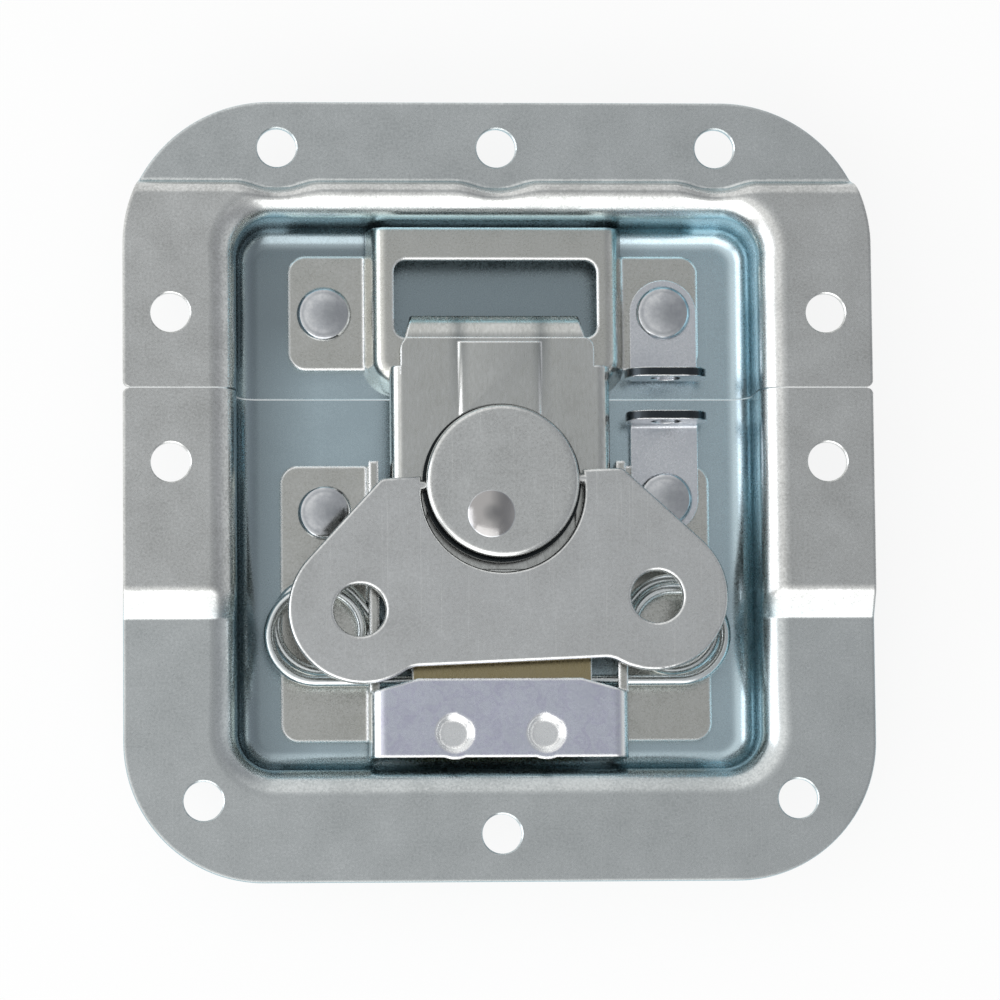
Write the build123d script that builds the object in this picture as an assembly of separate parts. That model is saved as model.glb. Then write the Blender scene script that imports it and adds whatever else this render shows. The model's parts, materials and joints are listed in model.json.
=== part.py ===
from build123d import *
import os
from math import atan2, cos, hypot, radians, sin, sqrt, tan

# Recessed butterfly latch, millimetres.
# X runs across the latch, Y towards the lid half, Z out of the front face.
# The origin is under the middle of the plate, level with the rivet tails on the back.

# Sheet thicknesses
dish_sheet = 1.2
bracket_sheet = 1.3
tongue_sheet = 1.2
wing_sheet = 1.5

# Plate and its cranked flange
plate_width = 101.0
plate_height = 105.5
top_corner_radius = 20.0
bottom_corner_radius = 18.8
seam_y = 13.46
seam_gap = 0.2
seam_corner_radius = 0.8
flange_height = 14.0
crank_drop = 3.0
top_crank_foot_y = 42.2
top_crank_run = 1.4
bottom_crank_foot_y = -17.4
bottom_crank_run = 3.4
top_crest_radius = 1.5
bottom_crest_radius = 3.0
crank_foot_radius = 0.5
scallop_radius = 5.4

# Screw holes in the flange
hole_diameter = 5.3
top_hole_x = 29.68
top_hole_y = 46.49
side_hole_off_middle = -0.1
side_hole_from_seam = 10.1
bottom_hole_inset = 10.64
bottom_hole_y = -41.8
bottom_middle_hole_y = -46.35

# Recess, measured where its walls would meet the flange plane
recess_half_width = 36.4
recess_top_y = 38.1
recess_bottom_y = -38.7
recess_corner_radius = 6.5
recess_draft = 2.0
rim_radius = 1.6
floor_radius = 3.0

# Rivets
rivet_shank_radius = 2.0
rivet_head_radius = 3.75
rivet_head_height = 1.1
rivet_head_edge = 0.8
rivet_tail_radius = 2.9
rivet_tail_height = 0.6
rivet_tail_edge = 0.25
keeper_rivet_y = 25.0
frame_rivet_left_y = -2.2
frame_rivet_right_y = -0.6

# Keeper, a drawn hood with a window for the hook
keeper_top_height = 7.4
keeper_half_width = 16.4
keeper_side_taper = 14.0
keeper_far_y = 36.2
keeper_front_clear = 0.35
keeper_edge_radius = 2.0
keeper_corner_radius = 3.0
keeper_heel_lift = 0.75
keeper_window_half_width = 13.8
keeper_bar_far_y = 21.1
keeper_window_length = 10.7
keeper_window_radius = 1.7
keeper_flange_half_width = 28.0
keeper_flange_near_y = 17.3
keeper_flange_far_y = 33.0
bracket_corner_radius = 2.4

# Padlock eyes, two angle brackets under the right-hand rivets
eye_sheet = 1.2
eye_strap_width = 9.1
eye_ear_width = 10.9
eye_ear_top = 10.1
eye_ear_shoulder = 3.2
eye_ear_corner = 3.0
eye_bend_radius = 0.6
eye_wall_gap = 0.25
eye_keeper_gap = 0.02
eye_hole_diameter = 4.2
eye_hole_height = 7.1
upper_ear_from_seam = 2.1
lower_ear_from_seam = 2.6

# Base frame with the bridge over the hinge bar
frame_inner_half_width = 16.1
frame_bend_radius = 0.7
frame_flange_half_width = 29.2
frame_flange_near_y = -33.4
frame_far_y = 4.2
frame_wall_top = 8.0
frame_wall_end_radius = 1.5
bridge_top_height = 9.9
bridge_far_y = -25.4
bridge_near_y = -36.0
bridge_shoulder_y = -27.2
bridge_crown_half_width = 11.0
dimple_x = 6.15
dimple_y = -32.75
dimple_radius = 2.5
dimple_depth = 1.6
dimple_draft = 20.0
dimple_wall = 1.05

# Spring wire, which is also the hinge bar
wire_diameter = 1.5
bar_y = -25.4
bar_height = 6.1
loop_wall_gap = 0.135
loop_radius = 6.2
loop_step_in = 0.9
loop_step_up = 1.5
loop_drop = 0.8
leg_turn = 50.0
leg_length = 4.9
leg_window_margin = 0.5
bar_slot_play = 0.6
fit_clearance = 0.05

# Tongue, which hangs a little to the right in its side play
tongue_shift = 0.4
carrier_half_width = 12.1
carrier_far_y = 11.0
carrier_corner_radius = 3.0
barrel_opening = 20.0
stack_gap = 0.1
hub_y = 0.9

# Hook plate
hook_flat_half_width = 13.2
hook_bend_radius = 0.5
hook_flange_bottom = 7.6
hook_near_y = -18.0
hook_flange_far_y = 17.0
hook_edge_y = 20.95
hook_tongue_half_width = 13.1
hook_tongue_off_middle = -0.35
hook_corner_radius = 1.6
lip_reach = 3.1
lip_root_half_width = 12.2
lip_off_middle = -0.65
lip_tip_half_width = 11.2
lip_angle = 45.0
emboss_half_width = 5.4
emboss_height = 0.45

# Hub: cam, spool, disc and their rivets
cam_radius = 6.0
cam_throw = 3.9
overcentre_angle = 19.6
cam_window_near_gap = 1.85
cam_window_far_gap = 0.2
spool_flange_radius = 10.7
spool_flange_height = 1.0
neck_radius = 8.6
groove_height = 1.7
disc_radius = 10.3
disc_height = 1.4
disc_edge_radius = 0.7
pivot_radius = 2.0
washer_radius = 3.6
washer_height = 0.5
pivot_tail_radius = 2.8
pivot_tail_height = 0.55
dome_throw = 4.77
dome_radius = 3.2
dome_height = 0.9
dome_shank_radius = 1.5

# Wing
wing_tilt = 2.5
wing_edge_y = -24.3
wing_ear_top = 1.2
wing_ear_half_width = 15.5
wing_ear_corner = 1.6
lobe_x = 19.6
lobe_y = -16.3
lobe_radius = 10.0
lobe_blend_radius = 3.5
finger_hole_x = 20.0
finger_hole_y = -16.4
finger_hole_radius = 3.5
cutout_radius = 10.95
cutout_y = -1.2
trunnion_inner_x = 6.5
wing_edge_round = 0.45

# Heights above the lowest point, worked out from the stack
back_z = rivet_tail_height
floor_z = back_z + dish_sheet
flange_z = back_z + flange_height
low_flange_z = flange_z - crank_drop
bracket_z = floor_z + bracket_sheet
keeper_z = back_z + keeper_top_height
bridge_z = back_z + bridge_top_height
wall_z = back_z + frame_wall_top
bar_z = back_z + bar_height
barrel_radius = wire_diameter / 2 + fit_clearance + tongue_sheet
carrier_top_z = bar_z + barrel_radius
carrier_low_z = carrier_top_z - tongue_sheet
hook_low_z = carrier_top_z + stack_gap
hook_top_z = hook_low_z + tongue_sheet
spool_z = hook_top_z + stack_gap
groove_z = spool_z + spool_flange_height
disc_z = groove_z + groove_height
disc_top_z = disc_z + disc_height
wing_axis_z = groove_z + groove_height / 2
hub_x = tongue_shift

# Places that follow from the pieces next to them
side_hole_x = (plate_width / 2 + recess_half_width + rim_radius) / 2 + side_hole_off_middle
bottom_hole_x = plate_width / 2 - bottom_hole_inset
frame_outer_half_width = frame_inner_half_width + bracket_sheet
keeper_foot_half_width = keeper_half_width + (keeper_z - bracket_z) * tan(radians(keeper_side_taper))
eye_near_x = max(frame_outer_half_width + eye_wall_gap, keeper_foot_half_width + eye_keeper_gap)
keeper_rivet_x = eye_near_x + eye_ear_width / 2
frame_rivet_x = keeper_rivet_x
inner_turn_radius = hypot(2 * loop_radius - loop_step_up, loop_drop) / 2
loop_x = frame_outer_half_width + loop_wall_gap + wire_diameter / 2 + inner_turn_radius + loop_step_in

# How far the cutting tools run past the metal, and a length beyond anything in the latch
overshoot = 1.0
reach = plate_width


def slab(x0, x1, y0, y1, z0, z1):
    """A box between two corners."""
    middle = Pos((x0 + x1) / 2, (y0 + y1) / 2, (z0 + z1) / 2)
    return middle * Box(x1 - x0, y1 - y0, z1 - z0)


def drum(x, y, z0, z1, radius):
    """An upright cylinder between two heights."""
    return Pos(x, y, (z0 + z1) / 2) * Cylinder(radius, z1 - z0)


def mirrored(shape):
    return mirror(shape, about=Plane.YZ)


def folded_section(points, thickness, bend):
    """Cross-section of a folded sheet that lies to the left of a line of points."""
    steps = [(b[0] - a[0], b[1] - a[1]) for a, b in zip(points, points[1:])]
    lengths = [hypot(*step) for step in steps]
    normals = [(-s[1] / n, s[0] / n) for s, n in zip(steps, lengths)]
    before = [normals[0]] + normals
    after = normals + [normals[-1]]
    inner = []
    for point, n1, n2 in zip(points, before, after):
        scale = thickness / (1 + n1[0] * n2[0] + n1[1] * n2[1])
        inner.append((point[0] + (n1[0] + n2[0]) * scale, point[1] + (n1[1] + n2[1]) * scale))
    section = Sketch() + make_face(Polyline(*points, *reversed(inner), close=True))
    for i in range(1, len(points) - 1):
        cross = steps[i - 1][0] * steps[i][1] - steps[i - 1][1] * steps[i][0]
        outer_radius = bend + thickness if cross > 0 else bend
        inner_radius = bend if cross > 0 else bend + thickness
        for corner, radius in ((points[i], outer_radius), (inner[i], inner_radius)):
            vertex = section.vertices().sort_by_distance(Vector(*corner, 0))[0]
            section = Sketch() + fillet(vertex, radius)
    return section


def across(section, x0, x1):
    """A section drawn as (Y, Z), carried from x0 to x1."""
    return extrude(Plane.YZ.offset(x0) * section, x1 - x0)


def along(section, y0, y1):
    """A section drawn as (X, Z), carried from y0 to y1."""
    plane = Plane(origin=(0, y0, 0), x_dir=(1, 0, 0), z_dir=(0, -1, 0))
    return extrude(plane * section, -(y1 - y0))


def plate_outline():
    outline = Rectangle(plate_width, plate_height)
    top = outline.vertices().filter_by(lambda v: v.Y > 0)
    outline = fillet(top, top_corner_radius)
    bottom = outline.vertices().group_by(Axis.Y)[0]
    return fillet(bottom, bottom_corner_radius)


def half_outline(sign):
    """The plate outline on one side of the seam, with its two seam corners eased."""
    start = seam_y + sign * seam_gap / 2
    half = plate_outline() & Pos(0, start + sign * reach / 2) * Rectangle(2 * reach, reach)
    corners = half.vertices().filter_by(lambda v: abs(v.Y - start) < 0.01)
    return fillet(corners, seam_corner_radius)


def crank_prism(depth):
    """Everything under the flange face, or under that face sunk by the sheet."""
    top_slope = atan2(crank_drop, top_crank_run)
    bottom_slope = atan2(crank_drop, bottom_crank_run)
    top_shift = depth * tan(top_slope / 2)
    bottom_shift = depth * tan(bottom_slope / 2)
    low = low_flange_z - depth
    high = flange_z - depth
    top_foot = (top_crank_foot_y - top_shift, low)
    top_crest = (top_crank_foot_y - top_crank_run - top_shift, high)
    bottom_crest = (bottom_crank_foot_y + bottom_crank_run + bottom_shift, high)
    bottom_foot = (bottom_crank_foot_y + bottom_shift, low)
    outline = Polyline(
        (reach, low), top_foot, top_crest, bottom_crest, bottom_foot, (-reach, low),
        (-reach, -reach), (reach, -reach), close=True,
    )
    section = Sketch() + make_face(outline)
    bends = (
        (top_foot, crank_foot_radius + depth), (top_crest, top_crest_radius - depth),
        (bottom_crest, bottom_crest_radius - depth), (bottom_foot, crank_foot_radius + depth),
    )
    for corner, radius in bends:
        vertex = section.vertices().sort_by_distance(Vector(*corner, 0))[0]
        section = Sketch() + fillet(vertex, radius)
    return across(section, -reach, reach)


def recess(depth):
    """The tool that sinks the dish, grown by the sheet for the back of it."""
    spread = overshoot * tan(radians(recess_draft)) + depth
    width = 2 * (recess_half_width + spread)
    length = recess_top_y - recess_bottom_y + 2 * spread
    middle_y = (recess_top_y + recess_bottom_y) / 2
    mouth = Pos(0, middle_y, flange_z + overshoot) * RectangleRounded(
        width, length, recess_corner_radius + spread
    )
    height = flange_z + overshoot - floor_z + depth
    tool = extrude(mouth, height, dir=(0, 0, -1), taper=recess_draft)
    floor = tool.faces().sort_by(Axis.Z)[0]
    return fillet(floor.edges(), floor_radius + depth)


def under_surface(depth):
    """Solid ground below the pressed face, or below the back of the sheet."""
    ground = crank_prism(depth) - recess(depth)
    half_width = recess_half_width + depth + rim_radius / 2
    near_y = recess_bottom_y - depth - rim_radius / 2
    far_y = recess_top_y + depth + rim_radius / 2
    lowest = low_flange_z - depth - crank_drop / 2

    def is_mouth(edge):
        middle = edge.center()
        inside = abs(middle.X) < half_width and near_y < middle.Y < far_y
        return inside and edge.bounding_box().min.Z > lowest

    ground = fillet(ground.edges().filter_by(is_mouth), rim_radius - depth)
    slope = atan2(crank_drop, top_crank_run)
    foot_radius = scallop_radius + depth * tan(slope / 2)
    crest_radius = foot_radius + top_crank_run
    for x in (-top_hole_x, 0, top_hole_x):
        middle_z = flange_z - depth - crank_drop / 2
        cone = Cone(foot_radius, crest_radius, crank_drop)
        ground -= Pos(x, top_hole_y, middle_z) * cone
    return ground


def flange_holes():
    spots = [(sx * top_hole_x, top_hole_y) for sx in (-1, 0, 1)]
    spots += [(sx * side_hole_x, seam_y + sy * side_hole_from_seam) for sx in (-1, 1) for sy in (-1, 1)]
    spots += [(sx * bottom_hole_x, bottom_hole_y) for sx in (-1, 1)]
    spots.append((0, bottom_middle_hole_y))
    return [drum(x, y, 0, flange_z + overshoot, hole_diameter / 2) for x, y in spots]


def rivet_spots():
    return {
        "keeper_rivet_left": (-keeper_rivet_x, keeper_rivet_y, 0),
        "keeper_rivet_right": (keeper_rivet_x, keeper_rivet_y, eye_sheet),
        "frame_rivet_left": (-frame_rivet_x, frame_rivet_left_y, 0),
        "frame_rivet_right": (frame_rivet_x, frame_rivet_right_y, eye_sheet),
    }


def rivet_holes():
    return [drum(x, y, 0, flange_z, rivet_shank_radius) for x, y, _ in rivet_spots().values()]


def dish_halves():
    """The drawn dish, pressed as one sheet form and parted at the seam."""
    sheet = under_surface(0) - under_surface(dish_sheet)
    for tool in flange_holes() + rivet_holes():
        sheet -= tool
    halves = {}
    for name, sign in (("upper_dish", 1), ("lower_dish", -1)):
        halves[name] = sheet & extrude(half_outline(sign), flange_z + overshoot)
    return halves


def rivet(x, y, extra):
    """A flat-headed rivet through the floor, a bracket and any eye strap."""
    seat = bracket_z + extra
    head = drum(x, y, seat, seat + rivet_head_height, rivet_head_radius)
    head = fillet(head.edges().group_by(Axis.Z)[-1], rivet_head_edge)
    tail = drum(x, y, 0, rivet_tail_height, rivet_tail_radius)
    tail = chamfer(tail.edges().group_by(Axis.Z)[0], rivet_tail_edge)
    return head + drum(x, y, 0, seat, rivet_shank_radius) + tail


def hood(inset):
    """The outside of the keeper's raised middle, or its inside when inset by the sheet."""
    top = keeper_z - inset
    past = overshoot if inset else 0
    height = top - floor_z + past
    half_width = keeper_half_width - inset
    slant = tan(radians(keeper_side_taper))
    front_y = seam_y + keeper_front_clear + (keeper_z - floor_z) * slant + inset
    length = 2 * (keeper_far_y - front_y)
    plan = RectangleRounded(2 * half_width, length, keeper_corner_radius - inset)
    form = extrude(Pos(0, front_y + length / 2, top) * plan, height, dir=(0, 0, -1), taper=-keeper_side_taper)
    form = fillet(form.edges().group_by(Axis.Z)[-1], keeper_edge_radius - inset)
    return form & slab(-reach, reach, -reach, keeper_far_y + past, top - height, top)


def bracket_flanges(half_width, near_y, far_y):
    """The flat feet of a bracket, with rounded corners."""
    plan = RectangleRounded(2 * half_width, far_y - near_y, bracket_corner_radius)
    return extrude(Pos(0, (near_y + far_y) / 2, floor_z) * plan, bracket_sheet)


def keeper():
    body = hood(0) + bracket_flanges(keeper_flange_half_width, keeper_flange_near_y, keeper_flange_far_y)
    body -= hood(bracket_sheet)
    window_far = keeper_bar_far_y + keeper_window_length
    window = RectangleRounded(2 * keeper_window_half_width, keeper_window_length, keeper_window_radius)
    window_y = (keeper_bar_far_y + window_far) / 2
    body -= extrude(Pos(0, window_y, bracket_z) * window, keeper_top_height)
    body -= slab(-reach, reach, keeper_flange_far_y, reach, 0, bracket_z + keeper_heel_lift)
    for tool in rivet_holes():
        body -= tool
    return body


def padlock_eye(rivet_y, ear_y, sign):
    """An angle bracket: a strap under the rivet and an upright ear across it."""
    ear_near, ear_far = sorted((ear_y, ear_y + sign * eye_sheet))
    strap_top = bracket_z + eye_sheet
    ear_top = back_z + eye_ear_top
    profile = [(rivet_y, bracket_z), (ear_y, bracket_z), (ear_y, ear_top)]
    angle = folded_section(profile if sign < 0 else profile[::-1], eye_sheet, eye_bend_radius)
    body = across(angle, keeper_rivet_x - eye_strap_width / 2, keeper_rivet_x + eye_strap_width / 2)
    body += drum(keeper_rivet_x, rivet_y, bracket_z, strap_top, eye_strap_width / 2)
    shoulder_z = strap_top + eye_ear_shoulder / 2
    ear_height = ear_top - shoulder_z
    ear_plan = RectangleRounded(eye_ear_width, ear_height * 2, eye_ear_corner)
    ear_plane = Plane(origin=(keeper_rivet_x, ear_y, shoulder_z), x_dir=(1, 0, 0), z_dir=(0, sign, 0))
    ear = extrude(ear_plane * ear_plan, eye_sheet)
    ear = ear & slab(-reach, reach, -reach, reach, shoulder_z, ear_top)
    trim = slab(-reach, reach, ear_near, ear_far, ear_top - eye_ear_corner, reach)
    body = (body - trim) + ear
    axle = Pos(keeper_rivet_x, ear_y, back_z + eye_hole_height) * Rot(90, 0, 0)
    body -= axle * Cylinder(eye_hole_diameter / 2, 2 * (eye_sheet + overshoot))
    body -= drum(keeper_rivet_x, rivet_y, floor_z, strap_top + overshoot, rivet_shank_radius)
    return body


def base_frame():
    """A channel with feet, cut down to two walls except where it bridges the hinge bar."""
    outer = frame_outer_half_width
    section = folded_section(
        [
            (frame_flange_half_width, floor_z), (frame_inner_half_width, floor_z),
            (frame_inner_half_width, bridge_z - bracket_sheet),
            (-frame_inner_half_width, bridge_z - bracket_sheet),
            (-frame_inner_half_width, floor_z), (-frame_flange_half_width, floor_z),
        ][::-1],
        bracket_sheet, frame_bend_radius,
    )
    body = along(section, bridge_near_y, frame_far_y)
    body &= bracket_feet_and_walls(outer)
    crown = Polyline(
        (-reach, reach), (-reach, bridge_shoulder_y), (-outer, bridge_shoulder_y),
        (-bridge_crown_half_width, bridge_far_y), (bridge_crown_half_width, bridge_far_y),
        (outer, bridge_shoulder_y), (reach, bridge_shoulder_y), (reach, reach), close=True,
    )
    body -= extrude(Pos(0, 0, wall_z) * make_face(crown), reach)
    body -= slab(-frame_inner_half_width, frame_inner_half_width, bridge_far_y, reach, bracket_z + overshoot, reach)
    for x in (-dimple_x, dimple_x):
        body = dimpled(body, x)
    bar_slot = SlotOverall(2 * bar_slot_play + wire_diameter + 2 * fit_clearance, wire_diameter + 2 * fit_clearance)
    body -= across(Pos(bar_y, bar_z) * bar_slot, -outer - overshoot, outer + overshoot)
    leg_near, leg_far = leg_window_span()
    window = RectangleRounded(leg_far - leg_near, wire_diameter + 2 * leg_window_margin, wire_diameter / 2)
    window = Pos((leg_near + leg_far) / 2, leg_z()) * window
    body -= across(window, -outer - overshoot, outer + overshoot)
    for x, y, _ in rivet_spots().values():
        body -= drum(x, y, 0, bracket_z + overshoot, rivet_shank_radius)
    return body


def bracket_feet_and_walls(outer):
    """The room the frame may fill: rounded feet, and walls that clear the floor's round."""
    near = frame_flange_near_y
    feet = bracket_flanges(frame_flange_half_width, near, frame_far_y)
    walls = slab(-outer, outer, near, frame_far_y, floor_z, bridge_z)
    overhang = slab(-outer, outer, bridge_near_y, near, bracket_z + frame_bend_radius, bridge_z)
    return feet + walls + overhang


def dimpled(body, x):
    """Presses one closed conical dimple into the bridge."""
    narrowing = dimple_depth * tan(radians(dimple_draft))
    cup = Cone(dimple_radius - narrowing, dimple_radius, dimple_depth)
    shell_depth = dimple_depth + dimple_wall
    shell_narrowing = shell_depth * tan(radians(dimple_draft))
    shell_radius = dimple_radius + dimple_wall
    shell = Cone(shell_radius - shell_narrowing, shell_radius, shell_depth)
    body += Pos(x, dimple_y, bridge_z - shell_depth / 2) * shell
    return body - Pos(x, dimple_y, bridge_z - dimple_depth / 2) * cup


def leg_z():
    return bar_z - 3 * loop_drop


def leg_start():
    """Where the second turn leaves its circle, and the direction it leaves in."""
    angle = radians(90 + leg_turn)
    x = loop_x - loop_step_in + loop_radius * cos(angle)
    y = bar_y + loop_step_up + loop_radius * (1 + sin(angle))
    return (x, y), (-sin(angle), cos(angle))


def leg_window_span():
    """How far along Y the wall is open for the leg."""
    (x, y), (dx, dy) = leg_start()
    outer = frame_outer_half_width
    far = y + dy / dx * (outer - x) + wire_diameter
    near = y + dy / dx * (frame_inner_half_width - x) - wire_diameter
    return near, far


def half_turn(start, end, side):
    """A half circle between two points one above the other, bulging along X."""
    middle = (start + end) / 2
    radius = (end - start).length / 2
    return ThreePointArc(start, middle + Vector(side * radius, 0, 0), end)


def spring_wire():
    """Centre bar, two falling turns at each side and a leg that hooks into the wall."""
    span = 2 * loop_radius
    p0 = Vector(0, bar_y, bar_z)
    p1 = Vector(loop_x, bar_y, bar_z)
    p2 = p1 + Vector(0, span, -loop_drop)
    p3 = p2 - Vector(loop_step_in, 0, 0)
    p4 = p3 - Vector(0, span - loop_step_up, loop_drop)
    p5 = p4 + Vector(0, span, -loop_drop)
    (x, y), (dx, dy) = leg_start()
    p6 = Vector(x, y, p5.Z)
    middle_angle = radians(90 + leg_turn / 2)
    centre = p5 - Vector(0, loop_radius, 0)
    p56 = centre + Vector(cos(middle_angle), sin(middle_angle), 0) * loop_radius
    p7 = p6 + Vector(dx, dy, 0) * leg_length
    pieces = [
        Line(p0, p1), half_turn(p1, p2, 1), Line(p2, p3), half_turn(p3, p4, -1),
        half_turn(p4, p5, 1), ThreePointArc(p5, p56, p6), Line(p6, p7),
    ]
    path = Wire([edge for piece in pieces for edge in piece.edges()])
    ring = Plane(origin=p0, x_dir=(0, 1, 0), z_dir=(1, 0, 0)) * Circle(wire_diameter / 2)
    half = sweep(ring, path=path)
    return half + mirrored(half)


def carrier_plate():
    """The hinged plate under the hook, rolled round the bar at its near end."""
    bore = wire_diameter / 2 + fit_clearance
    slot = Polyline(
        (0, 0), (reach, reach * tan(radians(barrel_opening))), (reach, reach), (0, reach), close=True,
    )
    rolled = (Circle(barrel_radius) - Circle(bore)) - make_face(slot)
    barrel = across(Pos(bar_y, bar_z) * rolled, hub_x - carrier_half_width, hub_x + carrier_half_width)
    length = carrier_far_y - bar_y
    plan = Rectangle(2 * carrier_half_width, length)
    plan = fillet(plan.vertices().group_by(Axis.Y)[-1], carrier_corner_radius)
    plate = extrude(Pos(hub_x, bar_y + length / 2, carrier_low_z) * plan, tongue_sheet)
    hole = drum(hub_x, hub_y, floor_z, disc_z, pivot_radius + fit_clearance)
    return barrel + plate - hole


def hook_plate():
    """The sliding plate: folded sides, a cam window, a raised rib and the hooking lip."""
    outer = hook_flat_half_width + hook_bend_radius + tongue_sheet
    flange_low = back_z + hook_flange_bottom
    inner = outer - tongue_sheet
    section = folded_section(
        [(-inner, flange_low), (-inner, hook_low_z), (inner, hook_low_z), (inner, flange_low)],
        tongue_sheet, hook_bend_radius,
    )
    body = along(section, hook_near_y, hook_flange_far_y)
    tongue_near_y = hook_flange_far_y - tongue_sheet
    tongue = Rectangle(2 * hook_tongue_half_width, hook_edge_y - tongue_near_y)
    tongue = fillet(tongue.vertices().group_by(Axis.Y)[-1], hook_corner_radius)
    tongue = Pos(hook_tongue_off_middle, (hook_edge_y + tongue_near_y) / 2, hook_low_z) * tongue
    body += extrude(tongue, tongue_sheet)
    body += Pos(lip_off_middle, 0, 0) * hook_lip()
    body = Pos(hub_x, 0, 0) * body
    body = (body + rib_form(0)) - rib_form(tongue_sheet)
    drop = cam_throw * cos(radians(overcentre_angle))
    window_near = hub_y - drop - cam_radius - cam_window_near_gap
    window_far = hub_y - drop + cam_radius + cam_window_far_gap
    window = RectangleRounded(
        2 * (cam_throw + cam_radius + stack_gap), window_far - window_near, cam_radius
    )
    return body - extrude(Pos(hub_x, (window_near + window_far) / 2, carrier_top_z) * window, spool_z)


def hook_lip():
    """The lip that bends down behind the keeper's bar, narrower at its tip."""
    slope = radians(lip_angle)
    root_y = hook_edge_y - 2 * tongue_sheet
    run = lip_reach - tongue_sheet * sin(slope)
    tip = (hook_edge_y + run, hook_low_z - run * tan(slope))
    section = folded_section(
        [(root_y, hook_low_z), (hook_edge_y, hook_low_z), tip], tongue_sheet, hook_bend_radius
    )
    lip = across(section, -lip_root_half_width, lip_root_half_width)
    plan = Polyline(
        (-lip_root_half_width, 0), (-lip_root_half_width, hook_edge_y),
        (-lip_tip_half_width, hook_edge_y + lip_reach), (lip_tip_half_width, hook_edge_y + lip_reach),
        (lip_root_half_width, hook_edge_y), (lip_root_half_width, 0), close=True,
    )
    return lip & extrude(make_face(plan), reach)


def rib_form(sink):
    """The hook plate's raised rib, or the hollow under it when sunk by the sheet."""
    low = hook_top_z - sink
    base = emboss_half_width + emboss_height / 2 - sink * tan(radians(22.5))
    crown = base - emboss_height
    section = make_face(
        Polyline(
            (-base, low), (base, low), (crown, low + emboss_height), (-crown, low + emboss_height), close=True,
        )
    )
    bend_start = hook_edge_y - (hook_bend_radius + tongue_sheet) * tan(radians(lip_angle) / 2)
    rib = Pos(hub_x, 0, 0) * along(section, 0, bend_start)
    return rib - drum(hub_x, hub_y, 0, reach, spool_flange_radius + 2 * stack_gap + sink)


def cam_centre():
    angle = radians(overcentre_angle)
    return hub_x - cam_throw * sin(angle), hub_y - cam_throw * cos(angle)


def dome_centre():
    angle = radians(overcentre_angle)
    return hub_x - dome_throw * sin(angle), hub_y - dome_throw * cos(angle)


def cam():
    """The eccentric that fills the hook plate's window."""
    low = carrier_top_z + fit_clearance
    body = drum(*cam_centre(), low, spool_z, cam_radius)
    body -= drum(hub_x, hub_y, 0, disc_z, pivot_radius)
    return body - drum(*dome_centre(), 0, disc_z, dome_shank_radius)


def spool():
    """Turned collar that carries the wing's trunnions in two slots under the disc."""
    body = drum(hub_x, hub_y, spool_z, groove_z, spool_flange_radius)
    body += drum(hub_x, hub_y, groove_z, disc_z, neck_radius)
    slot_width = wing_sheet + 2 * fit_clearance
    slot_start = trunnion_inner_x - 2 * fit_clearance
    for sign in (-1, 1):
        slot = Pos(sign * (slot_start + spool_flange_radius) / 2, 0, 0)
        slot = slot * Box(spool_flange_radius - slot_start, slot_width, groove_height)
        body -= Pos(hub_x, hub_y, wing_axis_z) * Rot(0, 0, wing_tilt) * slot
    body -= drum(hub_x, hub_y, 0, disc_z, pivot_radius)
    return body - drum(*dome_centre(), 0, disc_z, dome_shank_radius)


def pivot_pin():
    """The pin that holds the hub to the carrier, headed over below a washer."""
    washer_low = carrier_low_z - fit_clearance - washer_height
    tail_low = washer_low - pivot_tail_height
    tail = drum(hub_x, hub_y, tail_low, washer_low, pivot_tail_radius)
    tail = fillet(tail.edges().group_by(Axis.Z)[0], pivot_tail_height / 2)
    return tail + drum(hub_x, hub_y, washer_low, disc_z, pivot_radius)


def pivot_washer():
    low = carrier_low_z - fit_clearance - washer_height
    ring = drum(hub_x, hub_y, low, low + washer_height, washer_radius)
    return ring - drum(hub_x, hub_y, 0, disc_z, pivot_radius)


def knob_disc():
    body = drum(hub_x, hub_y, disc_z, disc_top_z, disc_radius)
    body = fillet(body.edges().group_by(Axis.Z)[-1], disc_edge_radius)
    return body - drum(*dome_centre(), 0, reach, dome_shank_radius)


def dome_rivet():
    """The domed rivet that ties disc, spool and cam together."""
    x, y = dome_centre()
    ball = (dome_radius ** 2 + dome_height ** 2) / (2 * dome_height)
    cap = Pos(x, y, disc_top_z + dome_height - ball) * Sphere(ball)
    cap &= slab(-reach, reach, -reach, reach, disc_top_z, reach)
    return cap + drum(x, y, carrier_top_z + fit_clearance, disc_top_z, dome_shank_radius)


def wing_outline():
    """Two lobes, a straight lower edge and two hinge ears, before the wing is tilted."""
    slant = lobe_x + lobe_y + lobe_radius * sqrt(2)
    shoulder_x = slant - wing_ear_top
    touch = lobe_radius / sqrt(2)
    web = make_face(
        Polyline(
            (-shoulder_x, wing_ear_top), (shoulder_x, wing_ear_top), (lobe_x + touch, lobe_y + touch),
            (lobe_x, lobe_y), (lobe_x, wing_edge_y), (-lobe_x, wing_edge_y), (-lobe_x, lobe_y),
            (-lobe_x - touch, lobe_y + touch), close=True,
        )
    )
    outline = Sketch() + web
    for sign in (-1, 1):
        outline += Pos(sign * lobe_x, lobe_y) * Circle(lobe_radius)
    ears = outline.vertices().group_by(Axis.Y)[-1]
    outline = Sketch() + fillet(ears, wing_ear_corner)
    corners = outline.vertices().group_by(Axis.Y)[0]
    outline = Sketch() + fillet(corners, lobe_blend_radius)
    outline -= Pos(0, cutout_y) * Circle(cutout_radius)
    outline -= Pos(0, cutout_y + reach / 2) * Rectangle(2 * cutout_radius, reach)
    for sign in (-1, 1):
        outline -= Pos(sign * finger_hole_x, finger_hole_y) * Circle(finger_hole_radius)
    return outline


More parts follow.
